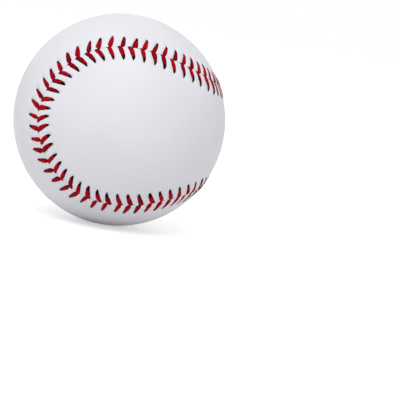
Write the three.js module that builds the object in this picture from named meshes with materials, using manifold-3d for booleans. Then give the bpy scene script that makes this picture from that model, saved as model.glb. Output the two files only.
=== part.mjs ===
// Vinyl baseball: a cushioned cork centre, four yarn windings and a laced two-panel cover.
// Millimetres, +Z up, origin at the centre of the ball. The X axis runs through the waists of the
// two figure-eight cover panels, A's at +X and B's at -X. The ball lies on a lobe of panel B.
import * as THREE from 'three';
import { mergeVertices } from 'three/addons/utils/BufferGeometryUtils.js';
import Module from 'manifold-3d';

const wasm = await Module();
wasm.setup();

// Cover: two equal vinyl panels that meet along one closed seam
const ballRadius = 36.9;
const coverThickness = 1.3;
const waistAngle = 0.434; // radians, from the middle of a waist to the seam on each side of it
const seamSway = 0.3685; // radians, swing of the seam ahead of and behind its even turn round X
const stitchCount = 108;
const firstStitch = 0.25; // stitches from the start of the seam to the first pair of holes
const holeInset = 4.9; // from the seam line to the middle of a punched hole
const hemMargin = 2.0; // plain cover between the holes and the start of the broad face

// Lacing: one waxed thread with a needle on each end
const threadWidth = 0.85; // along the seam
const threadHeight = 0.8; // standing on the cover, and through a hole
const threadPressed = 0.4; // squeezed in the seam and under the cover
const stitchLean = 1.1; // the middle of a V lies this far ahead of its two holes
const threadTail = 2.4; // end of the thread, tucked under the cover past the seam
const threadClearance = 0.18; // thread to cover, to winding, and to the thread beside it

// Windings, from the outside in
const beddingGap = 0.3; // cover to finishing winding
const bedMargin = 0.5; // the pressed bed of the lacing reaches this far past the holes
const finishingWall = 0.55; // finishing winding left under that bed
const thirdThickness = 2.0;
const secondThickness = 1.6;
const layerGap = 0.3; // between one hidden layer and the next
const yarnChannelRadius = 0.8; // way in for the tail of each yarn, at the top

// Cushioned cork centre
const pillRadius = 16.7; // outside of the red rubber
const outerCupThickness = 3.0;
const innerCupThickness = 2.8;
const gasketThickness = 1.2;

// How finely the round shapes are cut
const hiddenSegments = 16; // round a hidden ball
const hiddenRings = 4; // from the equator to a pole of a hidden ball
const broadColumns = 14; // along each quarter of the seam, on the broad faces
const broadSteps = 3; // from the hem to the middle line of a panel

// Sizes that follow from the ones above
const quarter = Math.PI / 2;
const holeWidth = threadWidth + 2 * threadClearance;
const holeReach = threadHeight / 2 + threadClearance;
const seamHalfGap = threadPressed / 2 + threadClearance;
const diveOffset = (threadWidth + 2 * threadClearance) / 2;
const coverInside = ballRadius - coverThickness;
const underRadius = coverInside - threadClearance - threadPressed / 2;
const overRadius = ballRadius + threadClearance + threadHeight / 2;
const windingRadius = coverInside - beddingGap;
const bedRadius = underRadius - threadPressed / 2 - threadClearance;
const bedHalfWidth = holeInset + holeReach + bedMargin;
const lobeAngle = Math.PI - waistAngle - quarter / 2; // from a waist to the middle of a lobe
const sameSpot = 1e-6; // on the unit ball, points of the two halves of a panel that are one

// The seam on a unit ball, one lap for t from 0 to 1, in the way that the lacing travels
class SeamCurve extends THREE.Curve {
  getPoint(t) {
    const turn = 4 * Math.PI * t;
    const latitude = (quarter - waistAngle) * Math.cos(turn);
    const longitude = turn / 2 + seamSway * Math.sin(2 * turn);
    return new THREE.Vector3(
      Math.sin(latitude),
      Math.cos(latitude) * Math.sin(longitude),
      -Math.cos(latitude) * Math.cos(longitude),
    );
  }

  getTangent(t) {
    const step = 1e-5;
    return this.getPoint(t + step).sub(this.getPoint(t - step)).normalize();
  }
}

const seam = new SeamCurve();
seam.arcLengthDivisions = 20 * stitchCount;
const seamLength = seam.getLength() * ballRadius;
const stitchPitch = seamLength / stitchCount;

const holeAlong = (stitch) => (stitch + firstStitch) * stitchPitch;
const broadPlaces = Array.from({ length: 4 * broadColumns }, (_, column) => {
  return (column * seamLength) / (4 * broadColumns);
});

// Where the leg on one side goes down into the seam: the leg on panel A lies ahead of the other
const diveAlong = (stitch, side) => holeAlong(stitch) + stitchLean + side * diveOffset;

// Place and directions beside the seam: along it from its start, and across it towards panel A
function besideSeam(along, across) {
  const lap = THREE.MathUtils.euclideanModulo(along / seamLength, 1);
  const up = seam.getPointAt(lap);
  const ahead = seam.getTangentAt(lap);
  const towardsA = new THREE.Vector3().crossVectors(up, ahead);
  const angle = across / ballRadius;
  const outward = up.clone().multiplyScalar(Math.cos(angle));
  outward.addScaledVector(towardsA, Math.sin(angle));
  const sideways = towardsA.multiplyScalar(Math.cos(angle));
  sideways.addScaledVector(up, -Math.sin(angle));
  return { outward, sideways, ahead };
}

// Middle line of a panel: the great circle through its waist and the middles of its two lobes
function middleLine(outward, side) {
  const reach = side > 0 ? outward.y : outward.z;
  const angle = Math.atan2(reach, side * outward.x);
  const held = THREE.MathUtils.clamp(angle, -lobeAngle, lobeAngle);
  const across = Math.sin(held);
  const ahead = side * Math.cos(held);
  return side > 0 ? new THREE.Vector3(ahead, across, 0) : new THREE.Vector3(ahead, 0, across);
}

// A mesh that is put together ring by ring, each ring a list of { index, along } round the seam
class RingMesh {
  points = [];

  faces = [];

  addPoint(direction, radius) {
    this.points.push(direction.clone().multiplyScalar(radius));
    return this.points.length - 1;
  }

  // One point for each place along the seam, all at one distance across it
  addRing(places, across, radius) {
    return places.map((along) => ({
      along,
      index: this.addPoint(besideSeam(along, across).outward, radius),
    }));
  }

  // Two corners of every punched hole, on its near (-1) or far (1) side as seen from the seam
  addHoleCorners(side, farness, radius) {
    const corners = [];
    for (let stitch = 0; stitch < stitchCount; stitch++) {
      const hole = besideSeam(holeAlong(stitch), side * holeInset);
      for (const half of [-holeWidth / 2, holeWidth / 2]) {
        const corner = hole.outward.clone().multiplyScalar(ballRadius);
        corner.addScaledVector(hole.sideways, side * farness * holeReach);
        corner.addScaledVector(hole.ahead, half).normalize();
        corners.push({ along: holeAlong(stitch) + half, index: this.addPoint(corner, radius) });
      }
    }
    return corners;
  }

  addFace(a, b, c, flipped) {
    if (a === b || b === c || c === a) return;
    this.faces.push(flipped ? [a, c, b] : [a, b, c]);
  }

  addQuad(a, b, c, d, flipped) {
    this.addFace(a, b, c, flipped);
    this.addFace(a, c, d, flipped);
  }

  // Joins two closed rings that may have different numbers of points
  bridge(near, far, flipped) {
    const at = (ring, i) => ring[i % ring.length];
    const alongOf = (ring, i) => at(ring, i).along + seamLength * Math.floor(i / ring.length);
    let i = 0;
    let j = 0;
    while (i < near.length || j < far.length) {
      const nearNext = alongOf(near, i) + alongOf(near, i + 1);
      const farNext = alongOf(far, j) + alongOf(far, j + 1);
      const start = [at(near, i).index, at(far, j).index];
      if (j >= far.length || (i < near.length && nearNext <= farNext)) {
        this.addFace(start[0], at(near, i + 1).index, start[1], flipped);
        i += 1;
      } else {
        this.addFace(start[0], at(far, j + 1).index, start[1], flipped);
        j += 1;
      }
    }
  }

  // Broad face of a panel, from its hem ring to its middle line
  addBroadFace(hem, hemAcross, side, radius, flipped) {
    let near = hem;
    for (let step = 1; step < broadSteps; step++) {
      const ring = broadPlaces.map((along) => {
        const edge = besideSeam(along, side * hemAcross).outward;
        const middle = middleLine(edge, side);
        const turned = new THREE.Quaternion().setFromUnitVectors(edge, middle);
        const part = new THREE.Quaternion().slerp(turned, step / broadSteps);
        return { along, index: this.addPoint(edge.applyQuaternion(part), radius) };
      });
      this.bridge(near, ring, flipped);
      near = ring;
    }
    const spine = [];
    for (const along of broadPlaces) {
      const middle = middleLine(besideSeam(along, side * hemAcross).outward, side);
      const twin = spine.find((place) => place.middle.distanceTo(middle) < sameSpot);
      const index = twin ? twin.index : this.addPoint(middle, radius);
      spine.push({ along, middle, index });
    }
    this.bridge(near, spine, flipped);
  }

  geometry() {
    const geometry = new THREE.BufferGeometry();
    const numbers = this.points.flatMap((point) => point.toArray());
    geometry.setAttribute('position', new THREE.Float32BufferAttribute(numbers, 3));
    geometry.setIndex(this.faces.flat());
    return geometry;
  }
}

// Cover panel: two skins, a hem of punched holes, and walls at the seam and in the holes
function coverPanel(side) {
  const mesh = new RingMesh();
  const stitches = Array.from({ length: stitchCount }, (_, stitch) => stitch);
  const edgePlaces = stitches.map((stitch) => holeAlong(stitch) + stitchLean);
  const hemAcross = holeInset + holeReach + hemMargin;

  const skin = (radius, flipped) => {
    const edge = mesh.addRing(edgePlaces, side * seamHalfGap, radius);
    const nearHoles = mesh.addHoleCorners(side, -1, radius);
    const farHoles = mesh.addHoleCorners(side, 1, radius);
    const hem = mesh.addRing(stitches.map(holeAlong), side * hemAcross, radius);
    mesh.bridge(edge, nearHoles, flipped);
    mesh.bridge(farHoles, hem, flipped);
    for (const stitch of stitches) {
      const left = 2 * stitch + 1;
      const right = (left + 1) % nearHoles.length;
      mesh.addQuad(
        nearHoles[left].index, nearHoles[right].index,
        farHoles[right].index, farHoles[left].index, flipped,
      );
    }
    mesh.addBroadFace(hem, hemAcross, side, radius, flipped);
    return { edge, nearHoles, farHoles };
  };

  const outside = skin(ballRadius, side < 0);
  const inside = skin(coverInside, side > 0);
  mesh.bridge(inside.edge, outside.edge, side < 0);
  for (const stitch of stitches) {
    const corners = (part) => [
      part.nearHoles[2 * stitch].index, part.nearHoles[2 * stitch + 1].index,
      part.farHoles[2 * stitch + 1].index, part.farHoles[2 * stitch].index,
    ];
    const top = corners(outside);
    const bottom = corners(inside);
    for (let i = 0; i < top.length; i++) {
      const next = (i + 1) % top.length;
      mesh.addQuad(top[i], top[next], bottom[next], bottom[i], side < 0);
    }
  }
  return mesh.geometry();
}

// One section of the thread: its middle, half its height as a mitred vector, half its width
function section(along, across, radius, acrossHalf, outwardHalf) {
  const place = besideSeam(along, across);
  return {
    middle: place.outward.clone().multiplyScalar(radius),
    height: place.sideways.clone().multiplyScalar(acrossHalf)
      .addScaledVector(place.outward, outwardHalf),
    width: place.ahead.clone().multiplyScalar(threadWidth / 2),
  };
}

// One leg of a stitch: up through its hole, back over the cover and down into the seam
function stitchLeg(stitch, side) {
  const hole = holeAlong(stitch);
  const dive = diveAlong(stitch, side);
  const tall = threadHeight / 2;
  const flat = threadPressed / 2;
  return [
    section(hole, side * holeInset, underRadius, -tall, side * flat),
    section(hole, side * holeInset, overRadius, -tall, -side * tall),
    section(dive, 0, overRadius, flat, -side * tall),
    section(dive, 0, underRadius, flat, -side * flat),
  ];
}

// One needle's half of the thread: its legs change sides at every stitch
function needleRun(firstSide) {
  const sections = [];
  let side = firstSide;
  for (let stitch = 0; stitch < stitchCount; stitch++) {
    sections.push(...stitchLeg(stitch, side));
    side = -side;
  }
  const lastDive = diveAlong(stitchCount - 1, -side);
  const flat = threadPressed / 2;
  sections.push(section(lastDive, side * threadTail, underRadius, 0, side * flat));
  return sections;
}

// The whole thread: its middle lies under the cover between the first two holes
function lacingThread() {
  const first = needleRun(1).reverse();
  for (const part of first) part.height.negate();
  const startAlong = holeAlong(0) + stitchLean - stitchPitch / 2;
  const start = section(startAlong, 0, underRadius, 0, -threadPressed / 2);
  const sections = [...first, start, ...needleRun(-1)];
  const mesh = new RingMesh();
  const rings = sections.map(({ middle, height, width }) => [
    middle.clone().add(height).add(width),
    middle.clone().add(height).sub(width),
    middle.clone().sub(height).sub(width),
    middle.clone().sub(height).add(width),
  ].map((point) => mesh.addPoint(point, 1)));
  for (let i = 0; i + 1 < rings.length; i++) {
    for (let corner = 0; corner < 4; corner++) {
      const next = (corner + 1) % 4;
      mesh.addQuad(rings[i][corner], rings[i + 1][corner], rings[i + 1][next], rings[i][next]);
    }
  }
  mesh.addQuad(...rings[0]);
  mesh.addQuad(...rings.at(-1), true);
  return mesh.geometry();
}

// Points of a profile on a circle, from one angle above the equator to another
function arc(radius, from, to, steps) {
  return Array.from({ length: steps + 1 }, (_, i) => {
    const angle = from + ((to - from) * i) / steps;
    return new THREE.Vector2(radius * Math.cos(angle), radius * Math.sin(angle));
  });
}

// A profile of (distance from Z, height) turned about Z
function turned(profile) {
  const pinned = profile.map(({ x, y }) => new THREE.Vector2(Math.abs(x) < 1e-9 ? 0 : x, y));
  return new THREE.LatheGeometry(pinned, hiddenSegments).rotateX(quarter);
}

function solidBall(radius) {
  return turned(arc(radius, -quarter, quarter, 2 * hiddenRings));
}

// A hollow ball of wound yarn with its channel at the top
function yarnBall(inside, outside) {
  const lastRing = quarter - quarter / hiddenRings;
  const side = (radius) => [
    ...arc(radius, -quarter, lastRing, 2 * hiddenRings - 1),
    new THREE.Vector2(yarnChannelRadius, Math.sqrt(radius ** 2 - yarnChannelRadius ** 2)),
  ];
  return turned([...side(outside), ...side(inside).reverse()]);
}

// Half of a rubber shell, from its pole inside, round its rim, to its pole outside
function rubberCup(inside, outside, rimHeight) {
  const side = (radius) => {
    return arc(radius, Math.asin(rimHeight / radius), quarter, hiddenRings);
  };
  return turned([...side(inside).reverse(), ...side(outside)]);
}

function gasketRing(inside, outside) {
  const half = gasketThickness / 2;
  return turned([
    new THREE.Vector2(inside, -half),
    new THREE.Vector2(outside, -half),
    new THREE.Vector2(outside, half),
    new THREE.Vector2(inside, half),
    new THREE.Vector2(inside, -half),
  ]);
}

function asSolid(geometry) {
  const bare = geometry.clone();
  bare.deleteAttribute('normal');
  bare.deleteAttribute('uv');
  const merged = mergeVertices(bare, 1e-4);
  return new wasm.Manifold(new wasm.Mesh({
    numProp: 3,
    vertProperties: merged.attributes.position.array,
    triVerts: new Uint32Array(merged.index.array),
  }));
}

function asGeometry(solid) {
  const { vertProperties, triVerts } = solid.getMesh();
  const geometry = new THREE.BufferGeometry();
  geometry.setAttribute('position', new THREE.BufferAttribute(vertProperties, 3));
  geometry.setIndex(new THREE.BufferAttribute(triVerts, 1));
  return geometry;
}

// Finishing winding: a ball with the bed that the lacing presses along the seam
function finishingBall(inside) {
  const mesh = new RingMesh();
  const floorMiddle = mesh.addRing(broadPlaces, 0, bedRadius);
  for (const side of [1, -1]) {
    const flipped = side < 0;
    const floorEdge = mesh.addRing(broadPlaces, side * bedHalfWidth, bedRadius);
    const shoulder = mesh.addRing(broadPlaces, side * bedHalfWidth, windingRadius);
    mesh.bridge(floorMiddle, floorEdge, flipped);
    mesh.bridge(floorEdge, shoulder, flipped);
    const hemAcross = bedHalfWidth + hemMargin;
    const hem = mesh.addRing(broadPlaces, side * hemAcross, windingRadius);
    mesh.bridge(shoulder, hem, flipped);
    mesh.addBroadFace(hem, hemAcross, side, windingRadius, flipped);
  }
  const channel = new THREE.CylinderGeometry(
    yarnChannelRadius, yarnChannelRadius, ballRadius, hiddenSegments,
  );
  channel.rotateX(quarter).translate(0, 0, windingRadius);
  const hollow = asSolid(mesh.geometry()).subtract(asSolid(solidBall(inside)));
  return asGeometry(hollow.subtract(asSolid(channel)));
}

const finishes = {
  vinyl: { color: '#eceef2', roughness: 0.42 },
  redThread: { color: '#b4121c', roughness: 0.6 },
  whiteYarn: { color: '#e6e1d3', roughness: 0.95 },
  greyYarn: { color: '#8d8c88', roughness: 0.95 },
  blackRubber: { color: '#1d1c1c', roughness: 0.75 },
  redRubber: { color: '#9b3a30', roughness: 0.75 },
  cork: { color: '#a8794a', roughness: 0.9 },
};

const ball = new THREE.Group();

function addPiece(name, geometry, finish) {
  const material = new THREE.MeshStandardMaterial({ metalness: 0, ...finishes[finish] });
  const mesh = new THREE.Mesh(geometry, material);
  mesh.name = name;
  ball.add(mesh);
  return mesh;
}

// Cushioned cork centre, from the outside in
const outerCupInside = pillRadius - outerCupThickness;
const innerCupOutside = outerCupInside - layerGap;
const innerCupInside = innerCupOutside - innerCupThickness;
const corkRadius = innerCupInside - layerGap;
const cupRim = gasketThickness / 2 + layerGap;

addPiece('cork_nucleus', solidBall(corkRadius), 'cork');
addPiece('cup_gasket', gasketRing(innerCupInside, innerCupOutside), 'redRubber');
for (const half of ['upper', 'lower']) {
  const turn = half === 'upper' ? 0 : Math.PI;
  const innerCup = rubberCup(innerCupInside, innerCupOutside, cupRim);
  const outerCup = rubberCup(outerCupInside, pillRadius, layerGap / 2);
  addPiece(`inner_cup_${half}`, innerCup, 'blackRubber').rotation.x = turn;
  addPiece(`outer_cup_${half}`, outerCup, 'redRubber').rotation.x = turn;
}

// Windings, from the outside in
const finishingInside = bedRadius - finishingWall;
const thirdOutside = finishingInside - layerGap;
const thirdInside = thirdOutside - thirdThickness;
const secondOutside = thirdInside - layerGap;
const secondInside = secondOutside - secondThickness;
const firstOutside = secondInside - layerGap;

addPiece('first_winding', yarnBall(pillRadius + layerGap, firstOutside), 'greyYarn');
addPiece('second_winding', yarnBall(secondInside, secondOutside), 'whiteYarn');
addPiece('third_winding', yarnBall(thirdInside, thirdOutside), 'greyYarn');
addPiece('finishing_winding', finishingBall(finishingInside), 'whiteYarn');

// Cover and lacing
addPiece('cover_panel_a', coverPanel(1), 'vinyl');
addPiece('cover_panel_b', coverPanel(-1), 'vinyl');
addPiece('lacing_thread', lacingThread(), 'redThread');

export default ball;
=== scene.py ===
import logging
import math
from dataclasses import dataclass, field
from enum import Enum
from typing import Any

import bpy
import numpy as np
from mathutils import Matrix, Vector


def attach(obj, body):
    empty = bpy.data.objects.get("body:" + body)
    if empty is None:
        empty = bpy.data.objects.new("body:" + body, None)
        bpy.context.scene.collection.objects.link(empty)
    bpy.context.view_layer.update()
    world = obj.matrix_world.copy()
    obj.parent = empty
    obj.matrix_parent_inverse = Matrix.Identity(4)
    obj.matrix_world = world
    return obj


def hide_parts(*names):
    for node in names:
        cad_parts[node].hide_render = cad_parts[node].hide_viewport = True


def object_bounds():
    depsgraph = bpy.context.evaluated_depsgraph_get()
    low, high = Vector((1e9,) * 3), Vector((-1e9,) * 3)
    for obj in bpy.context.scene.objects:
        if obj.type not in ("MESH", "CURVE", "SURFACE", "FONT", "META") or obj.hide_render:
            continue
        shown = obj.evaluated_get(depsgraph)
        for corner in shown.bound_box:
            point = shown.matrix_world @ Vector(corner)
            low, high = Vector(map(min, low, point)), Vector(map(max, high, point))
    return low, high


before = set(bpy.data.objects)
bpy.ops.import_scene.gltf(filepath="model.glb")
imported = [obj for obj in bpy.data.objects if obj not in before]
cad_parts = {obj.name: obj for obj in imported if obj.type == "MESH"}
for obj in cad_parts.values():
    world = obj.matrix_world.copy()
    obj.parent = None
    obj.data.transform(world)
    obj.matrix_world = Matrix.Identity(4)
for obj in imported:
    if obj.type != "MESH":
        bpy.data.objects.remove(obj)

log = logging.getLogger("baseball")

MM = 0.001
CAD_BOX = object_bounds()
WHITE = (1.0, 1.0, 1.0, 1.0)


def fill_in(node: bpy.types.Node, values: tuple[Any, ...] = (),
            fill: dict[str, Any] | None = None) -> None:
    """Sets or links the inputs of a node whose settings are made.

    Args:
        node: The node.
        values: Inputs in order, each a number, a socket, a node (its first output) or None.
        fill: Inputs by their names, given in the same way.
    """
    sockets = [socket for socket in node.inputs if socket.enabled]
    pairs = list(zip(sockets, values))
    for name, value in (fill or {}).items():
        pairs.append((next(socket for socket in sockets if socket.name == name), value))
    for socket, value in pairs:
        if isinstance(value, bpy.types.Node):
            value = next(output for output in value.outputs if output.enabled)
        if isinstance(value, bpy.types.NodeSocket):
            node.id_data.links.new(value, socket)
        elif value is not None:
            socket.default_value = value


def add(tree: bpy.types.NodeTree, kind: str, *values: Any, fill: dict[str, Any] | None = None,
        **settings: Any) -> bpy.types.Node:
    """Adds one node with its settings and links.

    Args:
        tree: The node tree that gets the node.
        kind: Blender's type name of the node.
        values: Its inputs in order, as fill_in takes them.
        fill: Its inputs by their names.
        settings: Its properties, set before its inputs.

    Returns:
        The new node.
    """
    node = tree.nodes.new(kind)
    for name, value in settings.items():
        setattr(node, name, value)
    fill_in(node, values, fill)
    return node


def linear(code: str) -> tuple[float, float, float, float]:
    """Turns an sRGB hex colour into the linear colour that a socket takes.

    Args:
        code: The colour, such as "#c8102e".

    Returns:
        Red, green, blue and an alpha of 1.
    """
    shares = [int(code[place:place + 2], 16) / 255 for place in (1, 3, 5)]
    bent = [share / 12.92 if share <= 0.04045 else ((share + 0.055) / 1.055) ** 2.4
            for share in shares]
    return (*bent, 1.0)


def open_material(name: str, colour: str, roughness: float,
                  ior: float) -> tuple[bpy.types.Material, bpy.types.NodeTree, bpy.types.Node]:
    """Starts a material that holds only its shader and its output.

    Args:
        name: The material's name.
        colour: Its sRGB base colour.
        roughness: Its roughness where nothing varies it.
        ior: Its index of refraction.

    Returns:
        The material, its node tree and its shader.
    """
    material = bpy.data.materials.new(name)
    material.use_nodes = True
    shader = material.node_tree.nodes["Principled BSDF"]
    fill_in(shader, fill={"Base Color": linear(colour), "Roughness": roughness, "IOR": ior})
    return material, material.node_tree, shader


def new_object(name: str, data: bpy.types.ID) -> bpy.types.Object:
    """Makes an object and puts it in the scene.

    Args:
        name: Name of the object.
        data: Its mesh, lamp or camera.

    Returns:
        The object, at the origin.
    """
    made = bpy.data.objects.new(name, data)
    bpy.context.scene.collection.objects.link(made)
    return made


class Side(Enum):
    """The two cover panels, each with its sign across the seam."""

    A = 1
    B = -1

    @property
    def node(self) -> str:
        """Name of the panel's CAD node."""
        return f"cover_panel_{self.name.lower()}"


@dataclass(frozen=True)
class SmoothVinyl:
    """Calendered white PVC sheet: an even cool white with a low sheen and a soft, fine grain."""

    colour: str = "#ebeaf0"
    shade: str = "#e3e2e8"
    roughness: float = 0.48
    duller: tuple[float, float] = (-0.04, 0.05)  # change of the roughness from patch to patch
    noise: tuple[float, float] = (0.3, 0.7)  # limits of the noise between which it changes
    ior: float = 1.53  # PVC
    gloss: float = 0.15  # specular level of a dull calendered face
    grain: float = 0.45 * MM  # width of one pebble of the pressed grain
    grain_depth: float = 0.03 * MM
    drift: float = 14 * MM  # width of a patch a little duller than the next
    creases: tuple[float, float, float] = (2.4 / MM, 0.5 / MM, 1.0)  # to a metre along and across
    crease_depth: float = 0.15 * MM
    creased: tuple[float, float] = (4 * MM, 8 * MM)  # the creases fade out this far from the seam

    def material(self) -> bpy.types.Material:
        """Builds the material: slow patches of tone, pressed grain and creases near the holes.

        Returns:
            The vinyl, which reads its place along and across the seam from "seam_place".
        """
        material, tree, shader = open_material("smooth_white_vinyl", self.colour, self.roughness,
                                               self.ior)
        place = add(tree, "ShaderNodeTexCoord").outputs["Object"]
        patches = add(tree, "ShaderNodeTexNoise", fill={
            "Vector": place, "Scale": 1 / self.drift, "Detail": 3.0})
        tone = add(tree, "ShaderNodeMix", data_type="RGBA", fill={
            "Factor": patches.outputs["Fac"], "A": linear(self.colour), "B": linear(self.shade)})
        dull = add(tree, "ShaderNodeMapRange", patches.outputs["Fac"], *self.noise,
                   *(self.roughness + change for change in self.duller))
        grain = add(tree, "ShaderNodeTexVoronoi", fill={"Vector": place, "Scale": 1 / self.grain})
        pressed = add(tree, "ShaderNodeBump", fill={
            "Strength": 0.25, "Distance": self.grain_depth, "Height": grain.outputs["Distance"]})
        seam = add(tree, "ShaderNodeAttribute", attribute_name="seam_place").outputs["Vector"]
        stretched = add(tree, "ShaderNodeVectorMath", seam, self.creases, operation="MULTIPLY")
        creases = add(tree, "ShaderNodeTexNoise",
                      fill={"Vector": stretched, "Scale": 1.0, "Detail": 2.0})
        across = add(tree, "ShaderNodeSeparateXYZ", seam).outputs["Y"]
        near = add(tree, "ShaderNodeMapRange", across, *self.creased, 1.0, 0.0)
        crease = add(tree, "ShaderNodeMath", creases.outputs["Fac"], near, operation="MULTIPLY")
        folded = add(tree, "ShaderNodeBump", fill={
            "Strength": 0.4, "Distance": self.crease_depth, "Height": crease, "Normal": pressed})
        fill_in(shader, fill={
            "Base Color": tone, "Roughness": dull, "Specular IOR Level": self.gloss,
            "Normal": folded})
        return material


@dataclass(frozen=True)
class CutVinylEdge:
    """Punched edge of the vinyl, painted nearly black: painted shade, as dark as the shadow inside
    the holes.
    """

    # Painted shade: the walls are as dark as the shadow inside a hole.
    colour: str = "#171314"
    roughness: float = 0.85
    ior: float = 1.5
    fibre: float = 0.2 * MM
    fibre_depth: float = 0.05 * MM

    def material(self) -> bpy.types.Material:
        """Builds the material, with short fibres in its bump.

        Returns:
            The cut edge.
        """
        material, tree, shader = open_material("punched_vinyl_edge", self.colour, self.roughness,
                                               self.ior)
        place = add(tree, "ShaderNodeTexCoord").outputs["Object"]
        fibres = add(tree, "ShaderNodeTexNoise", fill={"Vector": place, "Scale": 1 / self.fibre})
        rough = add(tree, "ShaderNodeBump", fill={
            "Strength": 0.5, "Distance": self.fibre_depth, "Height": fibres.outputs["Fac"]})
        fill_in(shader, fill={"Normal": rough})
        return material


@dataclass(frozen=True)
class WaxedThread:
    """Waxed four-ply cotton thread: a deep red with a dull gloss, with painted shade at its ends,
    at its sides and between its plies.
    """

    crown: str = "#bb0318"
    # Painted shade: the thread's red as it darkens at the sides of a leg and in the grooves between
    # its plies.
    flank: str = "#3c0009"
    # Painted shade: near black where a leg goes down into its hole or into the seam.
    hidden: str = "#160506"
    roughness: float = 0.68
    gloss: float = 0.03  # specular level: light is lost between the fibres
    ior: float = 1.47  # waxed cotton
    plies: int = 4
    turns: float = 1.3  # of the twist along one leg, which lays the plies about 40 degrees off it
    ply_share: float = 0.5  # how far from flank to crown the tone goes from a groove to its ply: painted shade in the grooves
    ply_depth: float = 0.14 * MM
    top: tuple[float, float] = (0.3, 0.9)  # shares of the half width between which the tone drops to painted shade at the sides
    top_tones: tuple[float, float] = (0.2, -0.45)  # added to the tone: painted light in the middle and painted shade at a side
    tones: tuple[float, float] = (0.1, 0.85)  # tones that are all shaded flank and all crown
    soiled_fade: float = 0.14  # share of a leg over which the painted shade from its hole fades out
    dive: tuple[float, float] = (0.72, 0.84)  # shares of a leg between which painted shade darkens its other end, where it goes down into the seam
    fibre: float = 0.16 * MM  # width of a tuft of fibres, coarser than a real one so that it shows
    fibre_depth: float = 0.05 * MM

    def material(self) -> bpy.types.Material:
        """Builds the material from the thread's own place along and round each leg.

        Returns:
            The thread, which reads "run", "girth" and "tint" from its mesh.
        """
        material, tree, shader = open_material("waxed_red_thread", self.crown, self.roughness,
                                               self.ior)
        girth = add(tree, "ShaderNodeSeparateXYZ",
                    add(tree, "ShaderNodeAttribute", attribute_name="girth").outputs["Vector"])
        run = add(tree, "ShaderNodeAttribute", attribute_name="run").outputs["Fac"]
        tint, dark, tail = add(tree, "ShaderNodeSeparateXYZ", add(
            tree, "ShaderNodeAttribute", attribute_name="tint").outputs["Vector"]).outputs
        angle = add(tree, "ShaderNodeMath", girth.outputs["Y"], girth.outputs["X"],
                    operation="ARCTAN2")
        twist = add(tree, "ShaderNodeMath", run, 2 * math.pi * self.turns * self.plies,
                    operation="MULTIPLY")
        phase = add(tree, "ShaderNodeMath", angle, float(self.plies), twist,
                    operation="MULTIPLY_ADD")
        ridge = add(tree, "ShaderNodeMath", phase, operation="SINE")
        height = add(tree, "ShaderNodeMapRange", ridge, -1.0, 1.0, 0.0, 1.0)
        # Painted light and shade: lighter along the middle of a leg, darker at its sides and in the
        # grooves between its plies.
        edge = add(tree, "ShaderNodeMath", girth.outputs["X"], operation="ABSOLUTE")
        top = add(tree, "ShaderNodeMapRange", edge, *self.top, *self.top_tones,
                  interpolation_type="SMOOTHSTEP")
        lit = add(tree, "ShaderNodeMath", tint, top, operation="ADD")
        mixed = add(tree, "ShaderNodeMath", height, self.ply_share, lit, operation="MULTIPLY_ADD")
        tone = add(tree, "ShaderNodeMapRange", mixed, *self.tones, 0.0, 1.0)
        body = add(tree, "ShaderNodeMix", data_type="RGBA", fill={
            "Factor": tone, "A": linear(self.flank), "B": linear(self.crown)})
        # Painted shade at both ends of a leg, where it goes down into its hole and into the seam.
        fade = add(tree, "ShaderNodeMath", dark, self.soiled_fade, operation="ADD")
        from_hole = add(tree, "ShaderNodeMapRange", run, dark, fade, 1.0, 0.0,
                        interpolation_type="SMOOTHSTEP")
        at_seam = add(tree, "ShaderNodeMapRange", run, *self.dive, 0.0, tail,
                      interpolation_type="SMOOTHSTEP")
        ends = add(tree, "ShaderNodeMath", from_hole, at_seam, operation="MAXIMUM")
        colour = add(tree, "ShaderNodeMix", data_type="RGBA", fill={
            "Factor": ends, "A": body, "B": linear(self.hidden)})
        plies = add(tree, "ShaderNodeBump", fill={
            "Strength": 0.8, "Distance": self.ply_depth, "Height": height})
        place = add(tree, "ShaderNodeTexCoord").outputs["Object"]
        tufts = add(tree, "ShaderNodeTexNoise", fill={
            "Vector": place, "Scale": 1 / self.fibre, "Detail": 2.0})
        fuzz = add(tree, "ShaderNodeBump", fill={
            "Strength": 0.45, "Distance": self.fibre_depth, "Height": tufts.outputs["Fac"],
            "Normal": plies})
        fill_in(shader, fill={"Base Color": colour, "Specular IOR Level": self.gloss,
                              "Normal": fuzz})
        return material


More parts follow.
